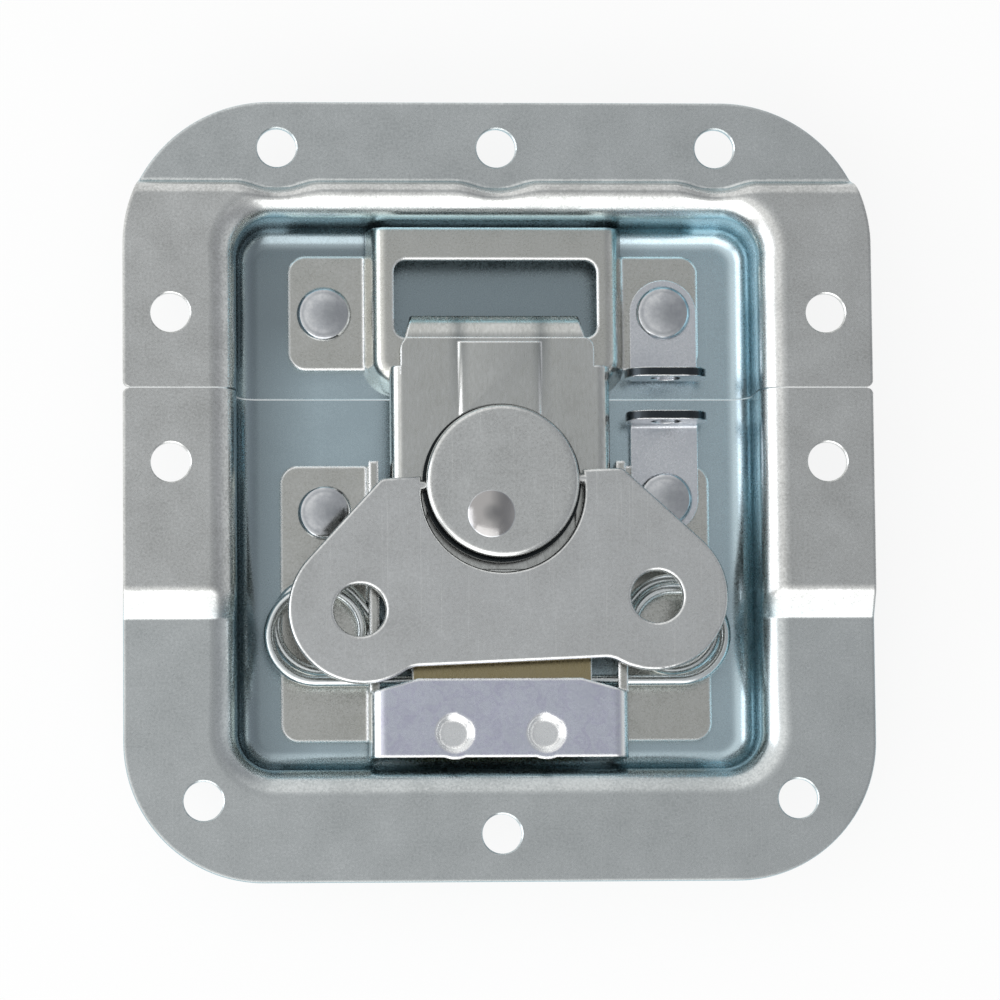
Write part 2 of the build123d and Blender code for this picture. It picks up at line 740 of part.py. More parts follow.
def wing():
    low = wing_axis_z - wing_sheet / 2
    sheet = extrude(wing_outline(), wing_sheet)
    top_edges = sheet.edges().group_by(Axis.Z)[-1]
    sheet = fillet(top_edges, wing_edge_round)
    body = Pos(hub_x, hub_y, low) * Rot(0, 0, wing_tilt) * sheet
    root = cutout_radius + overshoot
    for sign in (-1, 1):
        pin = Pos(sign * (root + trunnion_inner_x) / 2, 0, 0) * Rot(0, 90, 0)
        pin = pin * Cylinder(wing_sheet / 2, root - trunnion_inner_x)
        body += Pos(hub_x, hub_y, wing_axis_z) * Rot(0, 0, wing_tilt) * pin
    return body


def all_nodes():
    nodes = dish_halves()
    nodes["keeper"] = keeper()
    nodes["upper_padlock_eye"] = padlock_eye(keeper_rivet_y, seam_y + upper_ear_from_seam, 1)
    nodes["lower_padlock_eye"] = padlock_eye(frame_rivet_right_y, seam_y - lower_ear_from_seam, -1)
    nodes["base_frame"] = base_frame()
    for name, (x, y, extra) in rivet_spots().items():
        nodes[name] = rivet(x, y, extra)
    nodes["spring_wire"] = spring_wire()
    nodes["carrier_plate"] = carrier_plate()
    nodes["hook_plate"] = hook_plate()
    nodes["cam"] = cam()
    nodes["spool"] = spool()
    nodes["pivot_pin"] = pivot_pin()
    nodes["pivot_washer"] = pivot_washer()
    nodes["knob_disc"] = knob_disc()
    nodes["dome_rivet"] = dome_rivet()
    nodes["wing"] = wing()
    return nodes


os.makedirs("parts", exist_ok=True)
for node_name, shape in all_nodes().items():
    export_step(shape, f"parts/{node_name}.step")
    print(node_name, round(shape.volume, 1), len(shape.solids()))
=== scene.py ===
# %% [markdown]
# A recessed butterfly latch lies on its back on a pale table, seen from straight above.
# It is nearly all zinc-plated steel: a drawn dish, folded brackets, a sprung wire and a stamped wing.
# Shiny metal shows every flat, bend and ripple of its surface, so the work here is in smooth shapes
# and in what they reflect.
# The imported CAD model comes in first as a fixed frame. It gives every size and place.

# %% Load the frame
import bmesh
import bpy
import json
import math
import numpy as np
from mathutils import Matrix, Vector


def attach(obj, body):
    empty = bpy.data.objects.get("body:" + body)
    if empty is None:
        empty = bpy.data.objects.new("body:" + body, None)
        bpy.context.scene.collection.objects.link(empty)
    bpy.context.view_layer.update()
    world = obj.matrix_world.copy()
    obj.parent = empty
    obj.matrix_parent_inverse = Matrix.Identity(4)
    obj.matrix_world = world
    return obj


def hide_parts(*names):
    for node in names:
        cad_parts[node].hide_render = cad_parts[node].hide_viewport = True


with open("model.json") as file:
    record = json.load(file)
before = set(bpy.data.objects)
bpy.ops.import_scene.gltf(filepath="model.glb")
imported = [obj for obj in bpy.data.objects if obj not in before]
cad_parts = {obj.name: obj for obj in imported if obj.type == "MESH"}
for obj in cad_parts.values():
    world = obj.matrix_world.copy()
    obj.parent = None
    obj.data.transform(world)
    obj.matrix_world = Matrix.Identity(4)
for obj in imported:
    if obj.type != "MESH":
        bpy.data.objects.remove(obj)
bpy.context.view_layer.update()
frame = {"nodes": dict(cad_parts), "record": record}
BODY_OF = {node: body for body, nodes in frame["record"]["behaviour"]["bodies"].items() for node in nodes}
SLOT_OF = {row["node"]: row["material_slot"] for row in frame["record"]["subparts"]}

# %% [markdown]
# Sizes are easier to read in millimetres, and Blender works in metres, so points are worked out in millimetres
# and scaled once. Colours are noted as hex values, as a paint chart gives them. Blender mixes light in linear
# values, so one function turns hex to linear.

# %% Millimetres and colours
MM = 0.001


def linear(hex_colour):
    """Each channel c of an sRGB colour becomes ((c + 0.055) / 1.055) ** 2.4, or c / 12.92 where it is dark."""
    channels = np.array([int(hex_colour[i:i + 2], 16) for i in (1, 3, 5)]) / 255
    turned = np.where(channels <= 0.04045, channels / 12.92, ((channels + 0.055) / 1.055) ** 2.4)
    return (*turned.tolist(), 1.0)


print("mid grey is", [round(c, 3) for c in linear("#9a9b99")])

# %% [markdown]
# The camera stands where the picture was taken from. A long lens from 0.8 m keeps the plate's sides nearly parallel.
# The turn and the place were fitted to the plate's outline and its ten holes, so the CAD and the picture line up.
# The camera's axes are found by turning the world about X, then about Y, then about the line of sight.

# %% Camera
TILT, YAW, ROLL = -0.1166, 0.07, 0.0013
DISTANCE, ASIDE, UP = 800.0, 0.0882, 1.8141
FLANGE_TOP = 14.6
SENSOR_MM, FOCAL_PIXELS, FRAME_PIXELS = 36.0, 5971.5, 1000

turn = Matrix.Rotation(ROLL, 3, "Z") @ Matrix.Rotation(YAW, 3, "Y") @ Matrix.Rotation(TILT, 3, "X")
eye = turn.transposed() @ Vector((-ASIDE, -UP, DISTANCE)) + Vector((0, 0, FLANGE_TOP))
lens_data = bpy.data.cameras.new("copy_stand_camera")
lens_data.sensor_width = SENSOR_MM
lens_data.lens = FOCAL_PIXELS * SENSOR_MM / FRAME_PIXELS
lens_data.clip_start, lens_data.clip_end = 0.05, 20
camera = bpy.data.objects.new("copy_stand_camera", lens_data)
camera.matrix_world = Matrix.Translation(eye * MM) @ turn.transposed().to_4x4()
bpy.context.scene.collection.objects.link(camera)
bpy.context.scene.camera = camera
print("camera at", [round(c, 1) for c in eye], "mm, lens", round(lens_data.lens, 1), "mm")

# %% [markdown]
# A procedural finish is a small net of nodes. One function adds a node, sets its fields and inputs, and links what
# feeds it. An input is given as a plain value, or as a socket of another node, and then it is linked.

# %% One function for every node


def add(tree, kind, fields=None, **inputs):
    """Adds one node. fields are its properties. inputs are socket names, or i and a number, with values or sockets."""
    node = tree.nodes.new(kind)
    for field, value in (fields or {}).items():
        setattr(node, field, value)
    for name, value in inputs.items():
        numbered = name[0] == "i" and name[1:].isdigit()
        socket = node.inputs[int(name[1:]) if numbered else name.replace("_", " ")]
        if isinstance(value, bpy.types.NodeSocket):
            tree.links.new(value, socket)
        else:
            socket.default_value = value
    return node


print("one function adds every node of the finishes, the table and the world")

# %% [markdown]
# Zinc plate is a metal film a few microns thick, passivated in a blue-clear bath.
# Rolled sheet under it has a fine sandy grain, and tumbling and handling leave hairline scratches.
# Three patterns carry that: a slow mottle in the colour, a grain of about 0.3 mm in the bump and roughness, and
# scratches.
# The real grain is nearer 0.1 mm, which one pixel of the picture would swallow, so it is drawn coarser.
# All of them read Object coordinates, so they stay on the metal when a piece moves.

# %% Zinc finish
MOTTLE_MM, HAIR_MM, CROSSING_MM = 7.0, 0.18, 0.25
EDGE_ROUGHNESS, EDGE_HIGHLIGHT_TONE = 0.12, "#fbfbfa"


def zinc(name, light, dark, rough, grain_mm=0.3, grain_um=1.5, scratch=0.5, brushed=None, tint=None, edge_mm=0.0):
    """Plated steel. light and dark are the mottle's two hex colours, rough its roughness range.

    grain_mm is the size of the sandy grain and grain_um its height. scratch is the strength of the hairlines.
    brushed is a stretch of the grain in (x, y, z). tint adds a further colour step to the net.
    edge_mm is the radius of a break along sheared edges: there the normal turns from one face to the next, the
    roughness drops, and the colour is lightened to near-white as a painted highlight.
    """
    material = bpy.data.materials.new(name)
    material.use_nodes = True
    tree = material.node_tree
    shader = tree.nodes["Principled BSDF"]
    shader.inputs["Metallic"].default_value = 1.0
    place = add(tree, "ShaderNodeTexCoord").outputs["Object"]
    mottle = add(tree, "ShaderNodeTexNoise", i0=place, Scale=1 / (MOTTLE_MM * MM), Detail=3.0, Roughness=0.6)
    stretched = place
    if brushed:
        stretched = add(tree, "ShaderNodeMapping", i0=place, Scale=brushed).outputs[0]
    grain = add(tree, "ShaderNodeTexNoise", i0=stretched, Scale=1 / (grain_mm * MM), Detail=4.0, Roughness=0.65)
    cloud = add(tree, "ShaderNodeMath", {"operation": "MULTIPLY_ADD"}, i0=mottle.outputs["Fac"], i1=1.6, i2=-1.6)
    clamped = {"operation": "MULTIPLY_ADD", "use_clamp": True}
    spread = add(tree, "ShaderNodeMath", clamped, i0=grain.outputs["Fac"], i1=2.6, i2=cloud.outputs[0]).outputs[0]
    tone = {"data_type": "RGBA"}
    colour = add(tree, "ShaderNodeMix", tone, i0=spread, i6=linear(dark), i7=linear(light)).outputs[2]
    if tint:
        colour = tint(tree, place, colour)
    hair_place = add(tree, "ShaderNodeMapping", i0=place, Rotation=(0.4, 0.2, 0.9), Scale=(1.0, 0.014, 1.0))
    hairs = add(tree, "ShaderNodeTexNoise", i0=hair_place.outputs[0], Scale=1 / (HAIR_MM * MM), Detail=0.0)
    cross_place = add(tree, "ShaderNodeMapping", i0=place, Rotation=(0.1, 0.3, -0.7), Scale=(1.0, 0.012, 1.0))
    crossing = add(tree, "ShaderNodeTexNoise", i0=cross_place.outputs[0], Scale=1 / (CROSSING_MM * MM), Detail=0.0)
    lines = add(tree, "ShaderNodeMath", {"operation": "MAXIMUM"}, i0=hairs.outputs["Fac"], i1=crossing.outputs["Fac"])
    marks = add(tree, "ShaderNodeMapRange", i0=lines.outputs[0], i1=0.74, i2=0.84, i3=0.0, i4=1.0).outputs[0]
    steady = add(tree, "ShaderNodeMapRange", i0=spread, i1=0.25, i2=0.75, i3=rough[1], i4=rough[0]).outputs[0]
    worn = add(tree, "ShaderNodeMath", {"operation": "MULTIPLY_ADD"}, i0=marks, i1=0.1 * scratch, i2=steady)
    roughness = worn.outputs[0]
    fine = add(tree, "ShaderNodeBump", i0=1.0, i1=grain_um * 1e-6, Height=grain.outputs["Fac"])
    if edge_mm:
        broken_edge = add(tree, "ShaderNodeBevel", {"samples": 6}, Radius=edge_mm * MM).outputs[0]
        face = add(tree, "ShaderNodeNewGeometry").outputs["Normal"]
        alike = add(tree, "ShaderNodeVectorMath", {"operation": "DOT_PRODUCT"}, i0=broken_edge, i1=face)
        # Painted highlight: near an edge the colour goes towards near-white and the roughness is lowered.
        edge_highlight = add(tree, "ShaderNodeMapRange", i0=alike.outputs["Value"], i1=0.999, i2=0.985, i3=0.0, i4=1.0)
        edge_highlight = edge_highlight.outputs[0]
        roughness = add(tree, "ShaderNodeMix", i0=edge_highlight, i2=roughness, i3=EDGE_ROUGHNESS).outputs[0]
        colour = add(tree, "ShaderNodeMix", tone, i0=edge_highlight, i6=colour, i7=linear(EDGE_HIGHLIGHT_TONE)).outputs[2]
        tree.links.new(broken_edge, fine.inputs["Normal"])
    tree.links.new(colour, shader.inputs["Base Color"])
    tree.links.new(roughness, shader.inputs["Roughness"])
    cut = add(tree, "ShaderNodeBump", {"invert": True}, i0=1.0, i1=scratch * 2e-6, Height=marks, Normal=fine.outputs[0])
    tree.links.new(cut.outputs[0], shader.inputs["Normal"])
    return material


print("mottle of", MOTTLE_MM, "mm, hairlines of", HAIR_MM, "and", CROSSING_MM, "mm")

# %% [markdown]
# No piece is one even grey. The dish's flange kept the matt rolled skin, while the recess was stretched smooth and
# shows the blue of the bath. Painted light is laid on as well: a painted blue-teal reflection on the recess's walls,
# painted shade on its floor, on the spool, on the dome and along the rib of the sliding plate, and a painted highlight
# in the bridge's cups. The bridge took a lilac film, the carrier's roll is tarnished, and the ears' tops are dark. Each
# of these lies between certain heights, lengths or slopes of the piece, so one function lays a colour where several
# ranges agree.

# %% Stains and painted light by place


def stain_or_painted_light(tree, colour, stain, *ranges):
    """The colour with a hex colour laid over it, as a stain, painted shade or painted highlight, where all the ranges
    agree: its strength is their product.

    A range is (value, start, end, top). It gives 0 up to start and rises evenly to top at end. With start above end
    it falls instead.
    """
    strength = None
    for value, start, end, top in ranges:
        amount = add(tree, "ShaderNodeMapRange", i0=value, i1=start, i2=end, i3=0.0, i4=top).outputs[0]
        if strength is not None:
            amount = add(tree, "ShaderNodeMath", {"operation": "MULTIPLY"}, i0=strength, i1=amount).outputs[0]
        strength = amount
    return add(tree, "ShaderNodeMix", {"data_type": "RGBA"}, i0=strength, i6=colour, i7=linear(stain)).outputs[2]


def bath_blue_and_painted_light(tree, place, colour):
    """Blue-grey from the flange down to the floor. The walls get a painted blue-teal reflection, by the slope of the
    face, and the floor's front gets painted shade, darker at its left and lid ends.
    """
    across, along, height = add(tree, "ShaderNodeSeparateXYZ", i0=place).outputs
    facing = add(tree, "ShaderNodeNewGeometry").outputs["Normal"]
    upward = add(tree, "ShaderNodeSeparateXYZ", i0=facing).outputs[2]
    flatness = add(tree, "ShaderNodeMath", {"operation": "ABSOLUTE"}, i0=upward).outputs[0]
    on_floor = (height, 9.0 * MM, 5.0 * MM, 1.0), (upward, -0.3, -0.1, 1.0)
    colour = stain_or_painted_light(tree, colour, "#b9cbd2", (height, 13.0 * MM, 5.0 * MM, 1.0))
    # Painted reflection: steep faces of the recess get a darker blue-teal.
    colour = stain_or_painted_light(tree, colour, "#9dc0cb", (flatness, 0.8, 0.2, 1.0), (height, 14.2 * MM, 11.5 * MM, 1.0))
    # Painted shade: the floor darkens towards its left side.
    colour = stain_or_painted_light(tree, colour, "#879398", (across, -24 * MM, -32 * MM, 0.75), *on_floor)
    # Painted shade: the floor darkens towards the lid end, up to 14 mm right of the middle.
    lid_end_shade = (along, 15 * MM, 24 * MM, 0.75), (across, 22 * MM, 14 * MM, 1.0)
    return stain_or_painted_light(tree, colour, "#879398", *lid_end_shade, *on_floor)


def lilac_film_and_painted_highlight(tree, place, colour):
    """The bridge's top, at 10.5 mm, has a lilac film in swirls. Below it, down to 8.8 mm, its cups get a near-white
    painted highlight.
    """
    height = add(tree, "ShaderNodeSeparateXYZ", i0=place).outputs[2]
    swirl = add(tree, "ShaderNodeTexNoise", i0=place, Scale=1 / (2.2 * MM), Detail=5.0, Roughness=0.7, Distortion=1.5)
    on_top = (height, 10.2 * MM, 10.4 * MM, 1.0)
    colour = stain_or_painted_light(tree, colour, "#d9dce8", on_top)
    colour = stain_or_painted_light(tree, colour, "#c9c6dd", (swirl.outputs["Fac"], 0.45, 0.6, 0.5), on_top)
    # Painted highlight: the cups between 8.8 and 10.2 mm are lightened to near-white.
    return stain_or_painted_light(tree, colour, "#f4f5f5", (height, 8.7 * MM, 8.8 * MM, 1.0), (height, 10.4 * MM, 10.2 * MM, 1.0))


def sheared_black(tree, place, colour):
    """The sheared top edge of an upright ear is dark: faces that look up, above 6 mm, get a near-black colour."""
    height = add(tree, "ShaderNodeSeparateXYZ", i0=place).outputs[2]
    facing = add(tree, "ShaderNodeNewGeometry").outputs["Normal"]
    upward = add(tree, "ShaderNodeSeparateXYZ", i0=facing).outputs[2]
    return stain_or_painted_light(tree, colour, "#3c4145", (height, 6.0 * MM, 6.4 * MM, 1.0), (upward, 0.15, 0.4, 1.0))


def painted_spool_shade(tree, place, colour):
    """The spool below the disc lies in the shade, which is painted: dark below 12.6 mm."""
    height = add(tree, "ShaderNodeSeparateXYZ", i0=place).outputs[2]
    return stain_or_painted_light(tree, colour, "#2c3032", (height, 12.7 * MM, 12.6 * MM, 1.0))


def painted_dark_dome(tree, place, colour):
    """Above 14.2 mm only the dome stands, and it gets a darker grey as painted shade, for the dark room it mirrors. The
    other rivets keep their plate.
    """
    height = add(tree, "ShaderNodeSeparateXYZ", i0=place).outputs[2]
    return stain_or_painted_light(tree, colour, "#a5a3a2", (height, 14.22 * MM, 14.3 * MM, 1.0))


def rib_shade_and_tarnish(tree, place, colour):
    """Two soft dark lines of painted shade along the edges of the sliding plate's rib, and the tarnished roll of the
    carrier under the bridge.
    """
    across, along, _ = add(tree, "ShaderNodeSeparateXYZ", i0=place).outputs
    off = add(tree, "ShaderNodeMath", {"operation": "SUBTRACT"}, i0=across, i1=0.4 * MM).outputs[0]
    side = add(tree, "ShaderNodeMath", {"operation": "ABSOLUTE"}, i0=off).outputs[0]
    past_streak = add(tree, "ShaderNodeMath", {"operation": "SUBTRACT"}, i0=side, i1=5.6 * MM).outputs[0]
    from_streak = add(tree, "ShaderNodeMath", {"operation": "ABSOLUTE"}, i0=past_streak).outputs[0]
    # Painted shade: dark lines 5.6 mm to either side of the rib's middle, from 9 to 20 mm along.
    streaks = (from_streak, 1.5 * MM, 0.1 * MM, 1.0), (along, 9.0 * MM, 20.0 * MM, 0.55)
    colour = stain_or_painted_light(tree, colour, "#6f7678", *streaks)
    return stain_or_painted_light(tree, colour, "#9c8a55", (along, -20.0 * MM, -21.0 * MM, 0.8))


print("six stains, each laid by height, length or slope")

# %% [markdown]
# All the metal is the same zinc, and what was done to each piece before and after plating tells them apart.
# So each has its own greys, roughness and grain. A metal's IOR stays as it is, since its colour does the work.

# %% Finishes of the pieces
FINISH = {
    # Drawn sheet: matt where it was only rolled, smoother and bluer where it was stretched, with a painted reflection
    # on the walls and painted shade on the floor.
    "dish_zinc": zinc("zinc_plated_drawn_steel", "#e2e3e1", "#babbb9", (0.22, 0.3), 0.34, 1.6, 0.3, tint=bath_blue_and_painted_light),
    # Folded sheet: quiet warm grey flats with a bright line along every sheared edge, partly painted highlight, a lilac
    # film on the bridge and a painted highlight in its cups.
    "bracket_zinc": zinc(
        "zinc_plated_folded_steel", "#d8d8d3", "#bebeb8", (0.2, 0.28), 0.32, 0.9, 0.3,
        tint=lilac_film_and_painted_highlight, edge_mm=0.6,
    ),
    # Strap: cooler and a little rougher, with a dark sheared top edge and a painted highlight along its other edges.
    "eye_zinc": zinc(
        "zinc_plated_strap_steel", "#e8eaee", "#cccfd4", (0.26, 0.34), 0.3, 1.2, 0.3,
        tint=sheared_black, edge_mm=0.2,
    ),
    # Sliding plate: grain drawn out along its travel, two dark lines of painted shade along its rib, and a painted
    # highlight along its edges.
    "tongue_zinc": zinc(
        "zinc_plated_sliding_plate", "#d6d7d4", "#bfc0bc", (0.2, 0.28), 0.32, 0.8, 0.4,
        (1.0, 0.3, 1.0), rib_shade_and_tarnish, 0.35,
    ),
    # Wing: tumbled with others, so hairlines run every way.
    "wing_zinc": zinc("zinc_plated_tumbled_steel", "#e4e5e4", "#c4c5c4", (0.22, 0.3), 0.35, 1.3, 0.7),
    # Hub: a turned, even disc over a spool with painted shade.
    "hub_zinc": zinc(
        "zinc_plated_turned_steel", "#e4e5e3", "#c1c2c0", (0.22, 0.28), 0.34, 1.4, 0.8,
        tint=painted_spool_shade,
    ),
    # Rivets: smooth heads, hammered in soft facets, that mirror the room as blurred patches; the dome gets painted
    # shade.
    "rivet_zinc": zinc("bright_zinc_rivet", "#cdcfd1", "#b3b6ba", (0.16, 0.26), 0.9, 8.0, 0.3, tint=painted_dark_dome),
    # Spring wire: pulled through a die, the smoothest and lightest.
    "spring_steel": zinc("bright_zinc_spring_wire", "#e6eaea", "#d4d9d9", (0.22, 0.28), 0.3, 0.5, 0.2),
}
for node, thing in frame["nodes"].items():
    thing.data.materials.clear()
    thing.data.materials.append(FINISH[SLOT_OF[node]])
print(len(FINISH), "finishes")

# %% [markdown]
# A new piece is a grid of points worked out as arrays, with four-sided faces between neighbours.
# Rows can close on themselves, as round a rim, and the first and last row can each get one flat face as a lid.

# %% From a grid of points to a piece


def skin(grid, round_rows=True, start_lid=False, end_lid=False):
    """Faces between neighbours of a (rows, columns, 3) grid: (r, c), (r, c+1), (r+1, c+1) and (r+1, c) are one face."""
    rows, columns = grid.shape[:2]
    index = np.arange(rows * columns).reshape(rows, columns)
    if round_rows:
        index = np.concatenate([index, index[:, :1]], axis=1)
    quads = np.stack([index[:-1, :-1], index[:-1, 1:], index[1:, 1:], index[1:, :-1]], axis=-1).reshape(-1, 4)
    faces = quads.tolist()
    if start_lid:
        faces.append(np.arange(columns)[::-1].tolist())
    if end_lid:
        faces.append((np.arange(columns) + (rows - 1) * columns).tolist())
    return grid.reshape(-1, 3), faces


def as_mesh(name, points, faces):
    """A mesh in metres with its doubles merged and every face turned outwards."""
    mesh = bpy.data.meshes.new(name)
    mesh.from_pydata((points * MM).tolist(), [], faces)
    work = bmesh.new()
    work.from_mesh(mesh)
    bmesh.ops.remove_doubles(work, verts=work.verts, dist=1e-7)
    bmesh.ops.recalc_face_normals(work, faces=work.faces)
    work.to_mesh(mesh)
    work.free()
    return mesh


def show(name, mesh, node, sharp_degrees=32):
    """Puts a mesh in the scene in place of a CAD node, on that node's body and with its finish."""
    piece = bpy.data.objects.new(name, mesh)
    bpy.context.scene.collection.objects.link(piece)
    mesh.shade_smooth()
    mesh.set_sharp_from_angle(angle=math.radians(sharp_degrees))
    mesh.materials.clear()
    mesh.materials.append(FINISH[SLOT_OF[node]])
    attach(piece, BODY_OF[node])
    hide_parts(node)
    print(name, len(mesh.polygons), "faces in place of", node)
    return piece


print("a closed grid of 3 by 4 points gets", len(skin(np.zeros((3, 4, 3)))[1]), "faces")

# %% [markdown]
# The dish is the hardest piece. One sheet is cranked down at the top and bottom edges, dented round the screw heads
# and drawn into a deep recess. It could be cut and filleted from solids, but a pressing has no sharp places, so it is
# seen here as one profile carried round a rounded rectangle, from the middle of the floor out to the plate's edge.
# The grid's rows are nested rounded rectangles, and its columns run outwards across the floor's round, the wall, the
# rolled rim and the flange.
# Along the sides all rows share the same stops along Y, so the cranks fall exactly on columns and stay crisp.

# %% Nested rounded rectangles
SEAM_Y, SEAM_GAP = 13.46, 0.2
CORNER_COLUMNS = {"top": 110, "bottom": 30}
SIDE_LOW, SIDE_HIGH, KEPT_Y, HALF_END = -32.2, 31.6, 21, 29.9


def spaced(stops, steps):
    """Values from stop to stop, each stretch divided evenly into its own number of steps."""
    parts = [np.linspace(a, b, n, endpoint=False) for a, b, n in zip(stops, stops[1:], steps)]
    return np.concatenate(parts)


SIDE_Y = spaced([SIDE_LOW, -18.6, -12.6, 11.6, 15.3, SIDE_HIGH], [16, 60, 40, 44, 26])
TOP_X = spaced([HALF_END, -HALF_END], [150])
BOTTOM_X = spaced([-HALF_END, HALF_END], [40])


def nested_loop(half_x, low_y, high_y, low_radius, high_radius):
    """A rounded rectangle, point for point in step with every other one.

    Straight sides take the shared stops, stretched only near the ends, past KEPT_Y.
    Each corner is centre + radius * (cos a, sin a).
    """
    top, bottom = high_y - high_radius, low_y + low_radius
    side = np.interp(SIDE_Y, [SIDE_LOW, -KEPT_Y, KEPT_Y, SIDE_HIGH], [bottom, -KEPT_Y, KEPT_Y, top])
    right = np.stack([np.full_like(side, half_x), side], 1)

    def corner(x, y, radius, start, columns):
        a = np.radians(np.linspace(start, start + 90, columns, endpoint=False))
        return np.stack([x + radius * np.cos(a), y + radius * np.sin(a)], 1)

    high_x, low_x = half_x - high_radius, half_x - low_radius
    over = np.stack([TOP_X * high_x / HALF_END, np.full_like(TOP_X, high_y)], 1)
    under = np.stack([BOTTOM_X * low_x / HALF_END, np.full_like(BOTTOM_X, low_y)], 1)
    left_side = np.append(side[1:], top)[::-1]
    left = np.stack([np.full_like(left_side, -half_x), left_side], 1)
    return np.concatenate([
        right, corner(high_x, top, high_radius, 0, CORNER_COLUMNS["top"]), over,
        corner(-high_x, top, high_radius, 90, CORNER_COLUMNS["top"]), left,
        corner(-low_x, bottom, low_radius, 180, CORNER_COLUMNS["bottom"]), under,
        corner(low_x, bottom, low_radius, 270, CORNER_COLUMNS["bottom"]),
    ])


print(len(nested_loop(35.4, -37.6, 37.1, 5.2, 5.2)), "columns round the dish")

# %% [markdown]
# The crank is a straight slope with a bend at its crest and one at its foot, worked out along one distance past the
# crest. Round the three upper screw holes the crank steps back in a scallop, so that distance is the larger of two:
# the one past the straight line and the one into the circle round the hole.
# A soft maximum of the two lets the line flow into the circle, as the die's blended corner does.

# %% The cranked flange
CRANK_DROP = 3.0
TOP_HOLE_X, TOP_HOLE_Y = 29.68, 46.49
TOP_CREST_Y, BOTTOM_CREST_Y = 41.05, -14.0
SCALLOP_RADIUS, SCALLOP_BLEND = 6.55, 1.6


def bent_step(u, run, crest, foot):
    """Drop of the sheet at distance u past the crest's corner: an arc, a straight slope of drop / run, and an arc."""
    slope = math.atan2(CRANK_DROP, run)
    t_crest, t_foot = crest * math.tan(slope / 2), foot * math.tan(slope / 2)
    on_crest = crest - np.sqrt(np.maximum(crest ** 2 - np.clip(u + t_crest, 0, crest) ** 2, 0))
    on_foot = CRANK_DROP - foot + np.sqrt(np.maximum(foot ** 2 - np.clip(run + t_foot - u, 0, foot) ** 2, 0))
    straight = u * math.tan(slope)
    drop = np.where(u < t_crest * math.cos(slope), on_crest, straight)
    return np.where(u > run - t_foot * math.cos(slope), on_foot, np.where(u < -t_crest, 0, drop))


def soft_maximum(a, b, width):
    """The larger of two values, rounded over a band of that width: max(a, b) + h * h / (4 * width)."""
    h = np.maximum(width - np.abs(a - b), 0)
    return np.maximum(a, b) + h * h / (4 * width)


def flange_height(x, y):
    """Height of the front face outside the recess: the flange less the crank's drop at the top and at the bottom."""
    past = y - TOP_CREST_Y
    for hole_x in (-TOP_HOLE_X, 0, TOP_HOLE_X):
        into_circle = SCALLOP_RADIUS - np.hypot(x - hole_x, y - TOP_HOLE_Y)
        past = soft_maximum(past, into_circle, SCALLOP_BLEND)
    top = bent_step(past, run=0.9, crest=1.7, foot=0.5)
    bottom = bent_step(BOTTOM_CREST_Y - y, run=3.4, crest=2.6, foot=0.6)
    return FLANGE_TOP - top - bottom


print("flange", flange_height(44.0, 0.0), "and low flange", flange_height(0.0, 50.0), "mm")

# %% [markdown]
# The recess's wall leans back by two degrees, so the punch can leave. Its rim is rolled over at about 4 mm,
# and its floor is turned up at 3 mm.
# Each row is an inset from the mouth and a height. The rim's height follows the cranked flange, so it dips with it.
# The sheet is 1.2 mm thick everywhere: the back is the front moved in along its own normal, with fewer rows.

# %% Profile of the dish
SHEET, FLOOR_Z = 1.2, 1.8
FLOOR_ROUND, DRAFT = 3.0, math.radians(2.0)
LEAN = math.tan(DRAFT)
MOUTH_X, MOUTH_LOW, MOUTH_HIGH, MOUTH_ROUND = 35.4, -37.6, 37.1, 5.2
HALF_WIDTH, HALF_LENGTH, LOW_ROUND, HIGH_ROUND, SEAM_ROUND = 50.5, 52.75, 18.8, 20.0, 0.8


def mouth_loop(inset):
    """The recess's outline moved inwards, with its corners about the same centres while they last."""
    radius = np.maximum(MOUTH_ROUND - inset, 0.4)
    return nested_loop(MOUTH_X - inset, MOUTH_LOW + inset, MOUTH_HIGH - inset, radius, radius)


def moved_in(loop, inset):
    """Each point of the mouth moved inwards by its own amount, along the outline's own normal."""
    ahead = np.roll(loop, -1, axis=0) - np.roll(loop, 1, axis=0)
    inward = np.stack([-ahead[:, 1], ahead[:, 0]], 1) / np.linalg.norm(ahead, axis=1, keepdims=True)
    return loop + inward * np.asarray(inset)[:, None]


def recess_rows():
    """Rows from the floor's middle up the wall and over the rim, as (inset, height) arrays carried round the mouth."""
    rows = []
    centre_z = FLOOR_Z + FLOOR_ROUND
    centre_inset = (FLANGE_TOP - centre_z) * LEAN + FLOOR_ROUND / math.cos(DRAFT)
    for inset in (9.0, 6.5, centre_inset + 1.0, centre_inset + 0.25):
        rows.append((mouth_loop(inset), FLOOR_Z))
    for a in np.linspace(0, math.pi / 2 - DRAFT, 15):
        rows.append((mouth_loop(centre_inset - FLOOR_ROUND * math.sin(a)), centre_z - FLOOR_ROUND * math.cos(a)))
    mouth = mouth_loop(0)
    rim = np.interp(mouth[:, 1], [-34.0, -26.0, 30.0, 35.0], [4.0, 3.7, 3.7, 4.1])
    top = flange_height(mouth[:, 0], mouth[:, 1])
    low = centre_z - FLOOR_ROUND * math.sin(DRAFT)
    high = top - rim + rim * math.sin(DRAFT)
    for share in np.linspace(0, 1, 9)[1:-1]:
        z = low + (high - low) * share
        rows.append((mouth_loop(float(np.mean((FLANGE_TOP - z) * LEAN))), z))
    for a in np.linspace(math.pi / 2 - DRAFT, 0, 17):
        loop = moved_in(mouth, rim * LEAN - rim / math.cos(DRAFT) + rim * math.sin(a))
        rows.append((loop, flange_height(loop[:, 0], loop[:, 1]) - rim + rim * math.cos(a)))
    return [np.column_stack([loop, np.broadcast_to(z, len(loop))]) for loop, z in rows]


